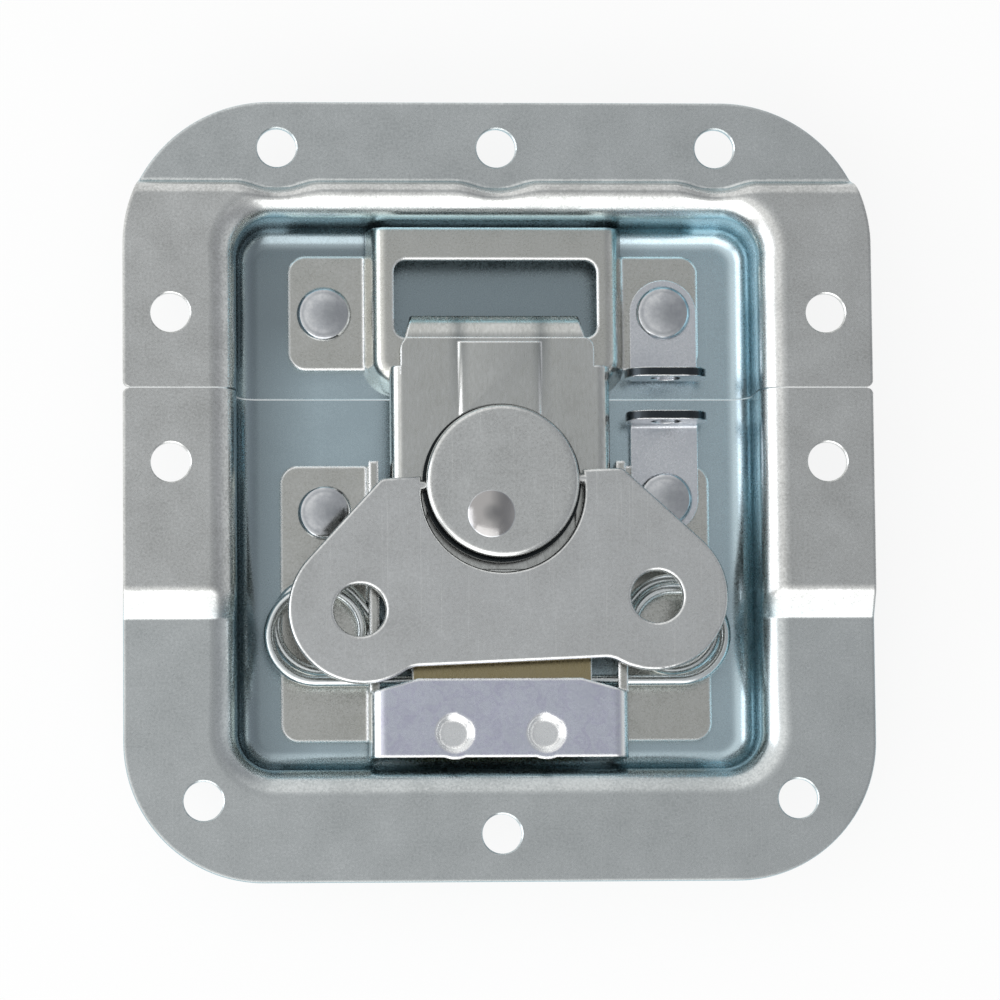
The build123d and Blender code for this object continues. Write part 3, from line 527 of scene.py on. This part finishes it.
def edge_loop(inset):
    """The plate's outline moved inwards, with a small cusp where the two halves' corners are eased at the seam."""
    half_x, half_y = HALF_WIDTH - inset, HALF_LENGTH - inset
    loop = nested_loop(half_x, -half_y, half_y, LOW_ROUND - inset, HIGH_ROUND - inset)
    away = np.maximum(np.abs(loop[:, 1] - SEAM_Y) - SEAM_GAP / 2, 0)
    cusp = SEAM_ROUND - np.sqrt(np.maximum(SEAM_ROUND ** 2 - np.maximum(SEAM_ROUND - away, 0) ** 2, 0))
    on_side = np.abs(loop[:, 0]) > half_x - 0.5
    loop[:, 0] -= np.sign(loop[:, 0]) * np.where(on_side, cusp, 0)
    return loop


def flange_rows(last_recess_row):
    """Rows from the rim out to the plate's edge. They lie close together near the rim, where the top crank is."""
    inner, outer = last_recess_row[:, :2], edge_loop(0.25)
    shares = spaced([0, 0.26, 1.0], [34, 44])[1:].tolist() + [1.0]
    rows = []
    for share in shares:
        loop = inner + (outer - inner) * share
        rows.append(np.column_stack([loop, flange_height(loop[:, 0], loop[:, 1])]))
    return rows


front = recess_rows()
front += flange_rows(front[-1])
front = np.array(front)
print("front face", front.shape[0], "rows of", front.shape[1])

# %% [markdown]
# With the front face as one array, its normals are the cross products of the steps along rows and columns.
# The back, the rounded outer edge and the two floor lids close the sheet. Then it is cut at the seam and the ten
# screw holes are punched.

# %% Sheet, seam and holes
HOLE_RADIUS, HOLE_EASE = 2.65, 0.18


def grid_normals(grid):
    """Unit normals of a grid that closes along its rows: the cross product of the two neighbour differences."""
    along_rows = np.roll(grid, -1, axis=1) - np.roll(grid, 1, axis=1)
    across_rows = np.gradient(grid, axis=0)
    normal = np.cross(across_rows, along_rows)
    normal /= np.maximum(np.linalg.norm(normal, axis=2, keepdims=True), 1e-12)
    return normal * np.where(normal[..., 2:3] < -0.05, -1, 1)


def closed_sheet(front_rows):
    """Front rows, a rounded edge 1.2 mm thick, and every third row of the back."""
    edge = []
    top = front_rows[-1][:, 2]
    for inset, sunk in ((0.08, 0.05), (0.0, 0.22), (0.0, 0.98), (0.08, 1.15)):
        edge.append(np.column_stack([edge_loop(inset), top - sunk]))
    back = (front_rows - SHEET * grid_normals(front_rows))[::-1]
    keep = np.r_[0, np.arange(3, len(back) - 1, 3), len(back) - 1]
    return np.concatenate([front_rows, np.array(edge), back[keep]])


def lathe(profile, columns=64, centre=(0.0, 0.0)):
    """A profile of (radius, height) turned about an upright axis: x = cx + r cos a, y = cy + r sin a."""
    radius, height = np.array(profile, float).T
    a = np.linspace(0, 2 * math.pi, columns, endpoint=False)
    x = centre[0] + radius[:, None] * np.cos(a)
    y = centre[1] + radius[:, None] * np.sin(a)
    return np.stack([x, y, np.broadcast_to(height[:, None], x.shape)], -1)


def punch(x, y):
    """The tool for one screw hole, a little wider at both faces so that the hole's edges are eased."""
    face = float(flange_height(np.array(x), np.array(y)))
    low = face - SHEET
    wide = HOLE_RADIUS + HOLE_EASE
    profile = [(wide, low - 2), (wide, low), (HOLE_RADIUS, low + 0.16)]
    profile += [(HOLE_RADIUS, face - 0.16), (wide, face), (wide, face + 2)]
    return skin(lathe(profile, 72, (x, y)), start_lid=True, end_lid=True)


def half_dish(mesh_name, whole, sign):
    """One side of the seam: the sheet is cut by a plane and the cut's thin outline is filled."""
    work = bmesh.new()
    work.from_mesh(whole)
    cut_y = (SEAM_Y + sign * SEAM_GAP / 2) * MM
    everything = list(work.verts) + list(work.edges) + list(work.faces)
    bmesh.ops.bisect_plane(work, geom=everything, plane_co=(0, cut_y, 0), plane_no=(0, -sign, 0), clear_outer=True)
    rim_edges = [e for e in work.edges if e.is_boundary]
    bmesh.ops.edgenet_fill(work, edges=rim_edges)
    bmesh.ops.recalc_face_normals(work, faces=work.faces)
    mesh = bpy.data.meshes.new(mesh_name)
    work.to_mesh(mesh)
    work.free()
    return mesh


def carve(mesh, tools):
    """The mesh less the tools, by an exact Boolean. Each tool is (points, faces)."""
    target = bpy.data.objects.new("target", mesh)
    bpy.context.scene.collection.objects.link(target)
    counts = np.cumsum([0] + [len(p) for p, _ in tools])
    points = np.concatenate([p for p, _ in tools])
    faces = [[i + int(n) for i in f] for (_, fs), n in zip(tools, counts) for f in fs]
    cutter = bpy.data.objects.new("cutter", as_mesh("cutter", points, faces))
    bpy.context.scene.collection.objects.link(cutter)
    cut = target.modifiers.new("cut", "BOOLEAN")
    cut.operation, cut.solver, cut.object = "DIFFERENCE", "EXACT", cutter
    bpy.context.view_layer.update()
    result = bpy.data.meshes.new_from_object(target.evaluated_get(bpy.context.evaluated_depsgraph_get()))
    result.name = mesh.name
    bpy.data.objects.remove(target)
    bpy.data.objects.remove(cutter)
    return result


sheet = as_mesh("dish_sheet", *skin(closed_sheet(front), start_lid=True, end_lid=True))
upper_holes = [(x, TOP_HOLE_Y) for x in (-TOP_HOLE_X, 0, TOP_HOLE_X)] + [(x, SEAM_Y + 10.1) for x in (-44.15, 44.15)]
lower_holes = [(x, SEAM_Y - 10.1) for x in (-44.15, 44.15)] + [(x, -41.8) for x in (-39.86, 39.86)] + [(0, -46.35)]
for half_name, node, sign, holes in (
    ("lid_half_of_dish", "upper_dish", 1, upper_holes), ("base_half_of_dish", "lower_dish", -1, lower_holes),
):
    half = carve(half_dish(half_name, sheet, sign), [punch(x, y) for x, y in holes])
    show(half_name, half, node)

# %% [markdown]
# The spring wire is one length of round wire: a straight bar in the middle and two turns at each side, like a safety
# pin's. A tube along a path does it. The path is straight runs and half circles, each worked out from its own formula.
# The round section sits square to the path: one axis is the path's direction crossed with up, and the other
# completes the frame.

# %% Spring wire
WIRE = 1.5
BAR_Y, BAR_Z = -25.4, 6.7
LOOP_X, LOOP_RADIUS, STEP_IN, STEP_UP, LOOP_DROP = 24.65, 6.2, 0.9, 1.5, 0.8
LEG_TURN, LEG_LENGTH = math.radians(50.0), 4.9


def run(start, end, steps):
    """Evenly spaced points on a straight stretch, without its end."""
    share = np.linspace(0, 1, steps, endpoint=False)[:, None]
    return start + (end - start) * share


def half_turn(start, end, side, steps=40):
    """middle + (start - middle) cos a + side * radius * X sin a, for a from 0 to half a turn."""
    a = np.linspace(0, math.pi, steps, endpoint=False)[:, None]
    middle = (start + end) / 2
    radius = np.linalg.norm(end - start) / 2
    return middle + (start - middle) * np.cos(a) + np.array([side * radius, 0, 0]) * np.sin(a)


def wire_path():
    """The right-hand half of the wire, from the middle of the bar to the end of its leg."""
    p0 = np.array([0, BAR_Y, BAR_Z])
    p1 = p0 + [LOOP_X, 0, 0]
    p2 = p1 + [0, 2 * LOOP_RADIUS, -LOOP_DROP]
    p3 = p2 - [STEP_IN, 0, 0]
    p4 = p3 - [0, 2 * LOOP_RADIUS - STEP_UP, LOOP_DROP]
    p5 = p4 + [0, 2 * LOOP_RADIUS, -LOOP_DROP]
    a = np.linspace(math.pi / 2, math.pi / 2 + LEG_TURN, 14)[:, None]
    last = p5 - [0, LOOP_RADIUS, 0] + LOOP_RADIUS * np.hstack([np.cos(a), np.sin(a), 0 * a])
    way = np.array([-math.sin(a[-1, 0]), math.cos(a[-1, 0]), 0])
    leg = run(last[-1], last[-1] + way * LEG_LENGTH, 8)[1:]
    end = (last[-1] + way * LEG_LENGTH)[None]
    loops = [half_turn(p1, p2, 1), run(p2, p3, 3), half_turn(p3, p4, -1), half_turn(p4, p5, 1)]
    return np.concatenate([run(p0, p1, 20), *loops, last, leg, end])


def tube(path, radius, columns=28):
    """point + radius_i (side cos a + rise sin a), where side is the path's direction crossed with up."""
    way = np.gradient(path, axis=0)
    way /= np.linalg.norm(way, axis=1, keepdims=True)
    side = np.cross(way, [0.0, 0.0, 1.0])
    side /= np.linalg.norm(side, axis=1, keepdims=True)
    rise = np.cross(side, way)
    a = np.linspace(0, 2 * math.pi, columns, endpoint=False)
    ring = side[:, None] * np.cos(a)[:, None] + rise[:, None] * np.sin(a)[:, None]
    return path[:, None] + ring * np.broadcast_to(radius, len(path))[:, None, None]


right_half = wire_path()
whole_path = np.concatenate([right_half[:0:-1] * [-1, 1, 1], right_half])
thickness = np.full(len(whole_path), WIRE / 2)
thickness[[0, -1]] *= 0.8
wire_skin = skin(tube(whole_path, thickness), start_lid=True, end_lid=True)
show("sprung_wire", as_mesh("sprung_wire", *wire_skin), "spring_wire")

# %% [markdown]
# Rivets, the disc and the dome were turned or headed, so each is a profile spun about its own axis.
# A headed rivet is softly crowned, with a rounded shoulder. The disc's edge is rounded at the top and slightly broken
# below.

# %% Turned pieces


def arc(centre_r, centre_z, radius, start, end, steps):
    """Points (r, z) on an arc, angles in degrees from the outward direction."""
    a = np.radians(np.linspace(start, end, steps))
    return np.stack([centre_r + radius * np.cos(a), centre_z + radius * np.sin(a)], 1).tolist()


def rivet_profile(seat):
    """Crowned head, rounded shoulder, shank through the sheets, and the flat tail set over on the back."""
    out = np.linspace(0.001, 2.9, 9)
    crown = np.column_stack([out, seat + 1.1 - 0.36 * (out / 2.9) ** 2]).tolist()
    shoulder = arc(2.93, seat, 0.79, 68, 0, 9) + [(3.72, seat + 0.1), (3.6, seat)]
    tail = [(2.0, seat), (2.0, 0.6), (2.9, 0.6)] + arc(2.6, 0.3, 0.3, 0, -90, 5) + [(0.001, 0.0)]
    return crown + shoulder + tail


for node, x, y, seat in (
    ("keeper_rivet_left", -23.1, 25.0, 3.1), ("keeper_rivet_right", 23.1, 25.0, 4.3),
    ("frame_rivet_left", -23.1, -2.2, 3.1), ("frame_rivet_right", 23.1, -0.6, 4.3),
):
    show(node + "_headed", as_mesh(node, *skin(lathe(rivet_profile(seat), 56, (x, y)))), node)

HUB = (0.4, 0.9)
disc_edge = arc(9.6, 13.5, 0.7, 88, 0, 10) + arc(10.15, 12.95, 0.15, 0, -90, 4)
disc = [(0.001, 14.2), (4.0, 14.2), (9.0, 14.19)] + disc_edge + [(0.001, 12.8)]
show("turned_disc", as_mesh("turned_disc", *skin(lathe(disc, 128, HUB))), "knob_disc")

# %% [markdown]
# The domed rivet stands off centre, and shows where the cam below it is thrown. Its cap is part of a sphere with a
# crisp foot. A cap of half width w and height h comes from a ball of radius (w * w + h * h) / (2 * h).

# %% Domed rivet
DISC_TOP, DOME_OFF, DOME_TURN = 14.2, 4.77, math.radians(19.6)
DOME_HALF, DOME_RISE, SHANK, TAIL_Z = 3.2, 0.9, 1.5, 8.76
DOME = (HUB[0] - DOME_OFF * math.sin(DOME_TURN), HUB[1] - DOME_OFF * math.cos(DOME_TURN))
ball = (DOME_HALF ** 2 + DOME_RISE ** 2) / (2 * DOME_RISE)
reach = math.degrees(math.asin(DOME_HALF / ball))
cap = arc(0.0, DISC_TOP + DOME_RISE - ball, ball, 89.99, 90 - reach, 18)
dome = cap + [(DOME_HALF - 0.01, DISC_TOP), (SHANK, DISC_TOP), (SHANK, TAIL_Z), (0.001, TAIL_Z)]
show("domed_rivet", as_mesh("domed_rivet", *skin(lathe(dome, 72, DOME))), "dome_rivet")

# %% [markdown]
# The folded brackets, the sliding plate and the wing keep the CAD's shape. Each gets a merged copy whose flat faces
# are joined again. Weighted normals keep the flats flat and the bends round.
# The small break along every sheared edge catches a line of light. It is only a few tenths of a millimetre wide, so the
# finishes give it: a Bevel node turns the normal near an edge, as a cut edge does, and the colour there is lightened as
# a painted highlight. The wing's edge is rounded in the CAD.

# %% Joined copies of the folded pieces


def joined(node, name, trim_y=None):
    """A copy of a CAD node with its doubles merged and its flats joined. It can end at a plane y = trim_y."""
    mesh = frame["nodes"][node].data.copy()
    mesh.name = name
    work = bmesh.new()
    work.from_mesh(mesh)
    bmesh.ops.remove_doubles(work, verts=work.verts, dist=2e-6)
    bmesh.ops.dissolve_limit(work, angle_limit=math.radians(0.05), verts=work.verts, edges=work.edges)
    if trim_y is not None:
        whole = list(work.verts) + list(work.edges) + list(work.faces)
        bmesh.ops.bisect_plane(work, geom=whole, plane_co=(0, trim_y * MM, 0), plane_no=(0, 1, 0), clear_outer=True)
        bmesh.ops.edgenet_fill(work, edges=[e for e in work.edges if e.is_boundary])
    work.to_mesh(mesh)
    work.free()
    piece = show(name, mesh, node, 30)
    weigh = piece.modifiers.new("flat flats", "WEIGHTED_NORMAL")
    weigh.keep_sharp = True
    return piece


for node, name in (
    ("keeper", "drawn_keeper"), ("base_frame", "folded_base_frame"), ("wing", "stamped_wing"),
    ("upper_padlock_eye", "lid_padlock_eye"), ("lower_padlock_eye", "base_padlock_eye"),
    ("carrier_plate", "rolled_carrier_plate"),
):
    joined(node, name)

# %% [markdown]
# The sliding plate ends in the lip that hooks behind the keeper's bar. It isn't folded sharply but rolled down in a
# wide bend, so it runs from white to grey in the picture. The plate's copy is trimmed before the lip, and the lip is
# made anew: one section of the sheet, an arc of 45 degrees and a short straight, carried across and narrowed towards
# the tip. Its two end stations are a little thinner, which rounds the sheared sides.

# %% Sliding plate and its rolled lip
LIP_Y, LIP_TOP, LIP_BEND, LIP_TURN, LIP_END = 20.9, 10.0, 3.6, math.radians(45.0), 0.8
LIP_CENTRE_X, ROOT_HALF, TIP_HALF, TIP_Y = -0.25, 12.2, 11.4, 24.0


def lip_side(depth):
    """Points (y, z) down one face of the lip: y = y0 + r sin a, z = zc + r cos a, then straight. depth is 0 on top."""
    radius = LIP_BEND - depth
    a = np.linspace(0, LIP_TURN, 14)
    bend = np.stack([LIP_Y + radius * np.sin(a), LIP_TOP - LIP_BEND + radius * np.cos(a)], 1)
    on = bend[-1] + LIP_END * np.array([math.cos(LIP_TURN), -math.sin(LIP_TURN)])
    return np.vstack([[LIP_Y - 0.9, LIP_TOP - depth], bend, on])


def lip_section(ease):
    """The closed section of the lip, thinner by ease on each face, with a rounded tip."""
    top, under = lip_side(0.01 + ease), lip_side(1.19 - ease)[::-1]
    nose = (top[-1] + under[0]) / 2 + 0.25 * np.array([math.cos(LIP_TURN), -math.sin(LIP_TURN)])
    return np.vstack([top, nose + (top[-1] - under[0]) * 0.28, nose - (top[-1] - under[0]) * 0.28, under])


stations = []
for along, ease in ((-1.0, 0.18), (-0.985, 0.0), (0.985, 0.0), (1.0, 0.18)):
    section = lip_section(ease)
    half_width = np.interp(section[:, 0], [LIP_Y, TIP_Y], [ROOT_HALF, TIP_HALF])
    stations.append(np.column_stack([LIP_CENTRE_X + along * half_width, section]))
joined("hook_plate", "sliding_hook_plate", LIP_Y)
show("rolled_lip", as_mesh("rolled_lip", *skin(np.array(stations), start_lid=True, end_lid=True)), "hook_plate", 40)

# %% [markdown]
# The floor is a pale table. To the camera and to the metal's reflections it is mostly plain white, as in a catalogue
# picture, and a small share of it is ordinary lit paint, so the latch still casts a soft shadow on it.
# A Light Path node tells which ray is asking.

# %% Table top
TABLE_HALF, PLAIN_SHARE = 3, 0.86


def seen_directly(tree):
    """1 for rays from the camera, from a reflection or through glass, and 0 for light that scatters."""
    rays = add(tree, "ShaderNodeLightPath").outputs
    larger = {"operation": "MAXIMUM"}
    either = add(tree, "ShaderNodeMath", larger, i0=rays["Is Camera Ray"], i1=rays["Is Glossy Ray"]).outputs[0]
    return add(tree, "ShaderNodeMath", larger, i0=either, i1=rays["Is Transmission Ray"]).outputs[0]


table_mesh = bpy.data.meshes.new("table_top")
table_corners = [(x * TABLE_HALF, y * TABLE_HALF, 0) for x, y in ((-1, -1), (1, -1), (1, 1), (-1, 1))]
table_mesh.from_pydata(table_corners, [], [(0, 1, 2, 3)])
table_top = bpy.data.objects.new("table_top", table_mesh)
bpy.context.scene.collection.objects.link(table_top)
paint = bpy.data.materials.new("matt_white_table_paint")
paint.use_nodes = True
tree = paint.node_tree
lit_paint = tree.nodes["Principled BSDF"]
lit_paint.inputs["Base Color"].default_value = linear("#f2f2f0")
lit_paint.inputs["Roughness"].default_value = 0.9
glow = add(tree, "ShaderNodeEmission", Color=(1, 1, 1, 1), Strength=1.0)
share = add(tree, "ShaderNodeMath", {"operation": "MULTIPLY"}, i0=seen_directly(tree), i1=PLAIN_SHARE)
mixed = add(tree, "ShaderNodeMixShader", i0=share.outputs[0], i1=lit_paint.outputs[0], i2=glow.outputs[0])
tree.links.new(mixed.outputs[0], tree.nodes["Material Output"].inputs["Surface"])
table_mesh.materials.append(paint)
print("table top", 2 * TABLE_HALF, "m square at height 0")

# %% [markdown]
# Metal is drawn by its surroundings, so they are what makes the picture. Flat faces mirror one patch of the tent. It is
# grey there, as where a camera and its stand keep the light out, so flats come out mid grey. Round that patch the tent
# is white, the right side is a darker curtain, and big soft boxes stand at the left and in front.
# Every roll and bend of the sheet then shows a run of those tones, from one side of the room to the other.
# The world gives grey and white from the angle to that patch, and the curtain from the direction's step to the right.

# %% World and lamps
world = bpy.data.worlds.new("white_tent")
bpy.context.scene.world = world
world.use_nodes = True
tree = world.node_tree
way = add(tree, "ShaderNodeTexCoord").outputs["Generated"]
rightward = add(tree, "ShaderNodeSeparateXYZ", i0=way).outputs[0]
looking = turn.transposed() @ Vector((0, 0, 1))
mirrored = (-looking.x, -looking.y, looking.z)
to_patch = add(tree, "ShaderNodeVectorMath", {"operation": "DOT_PRODUCT"}, i0=way, i1=mirrored).outputs["Value"]
PATCH_TONES = [(0.0, "#c9ccd0"), (0.1, "#ffffff"), (0.9, "#ffffff"), (0.97, "#d0d2d4"), (1.0, "#c2c4c6")]
CURTAIN_TONES = [(0.0, "#ffffff"), (0.14, "#e2e3e4"), (0.5, "#a6a8ac"), (0.75, "#b4b6ba"), (1.0, "#dcdee0")]

toned = []
for value, tones in ((to_patch, PATCH_TONES), (rightward, CURTAIN_TONES)):
    ramp = add(tree, "ShaderNodeValToRGB", i0=value)
    stops = ramp.color_ramp.elements
    stops[0].position, stops[0].color = tones[0][0], linear(tones[0][1])
    stops[1].position, stops[1].color = tones[-1][0], linear(tones[-1][1])
    for position, tone in tones[1:-1]:
        stops.new(position).color = linear(tone)
    toned.append(ramp.outputs[0])
darkened = {"data_type": "RGBA", "blend_type": "MULTIPLY"}
tent_tone = add(tree, "ShaderNodeMix", darkened, i0=1.0, i6=toned[0], i7=toned[1]).outputs[2]
camera_sees = add(tree, "ShaderNodeLightPath").outputs["Is Camera Ray"]
tent = add(tree, "ShaderNodeMix", {"data_type": "RGBA"}, i0=camera_sees, i6=tent_tone, i7=(1, 1, 1, 1))
tree.links.new(tent.outputs[2], tree.nodes["Background"].inputs["Color"])
tree.nodes["Background"].inputs["Strength"].default_value = 1.0


def soft_lamp(name, place, size, watts, colour):
    """A square lamp that faces the middle of the latch."""
    data = bpy.data.lights.new(name, "AREA")
    data.shape, data.size, data.energy, data.color = "SQUARE", size, watts, linear(colour)[:3]
    lamp = bpy.data.objects.new(name, data)
    lamp.location = place
    lamp.rotation_euler = (Vector((0, 0, 0.01)) - Vector(place)).to_track_quat("-Z", "Y").to_euler()
    bpy.context.scene.collection.objects.link(lamp)
    return lamp


soft_lamp("front_softbox", (-0.15, -0.68, 0.36), 0.9, 3.2, "#ffffff")
soft_lamp("left_softbox", (-0.8, -0.05, 0.33), 0.7, 2.6, "#f6f9ff")
print("one world of three tones and two lamps")

# %% [markdown]
# Plain view settings keep the colours as they are written.

# %% Finish
bpy.context.scene.view_settings.view_transform = "Standard"
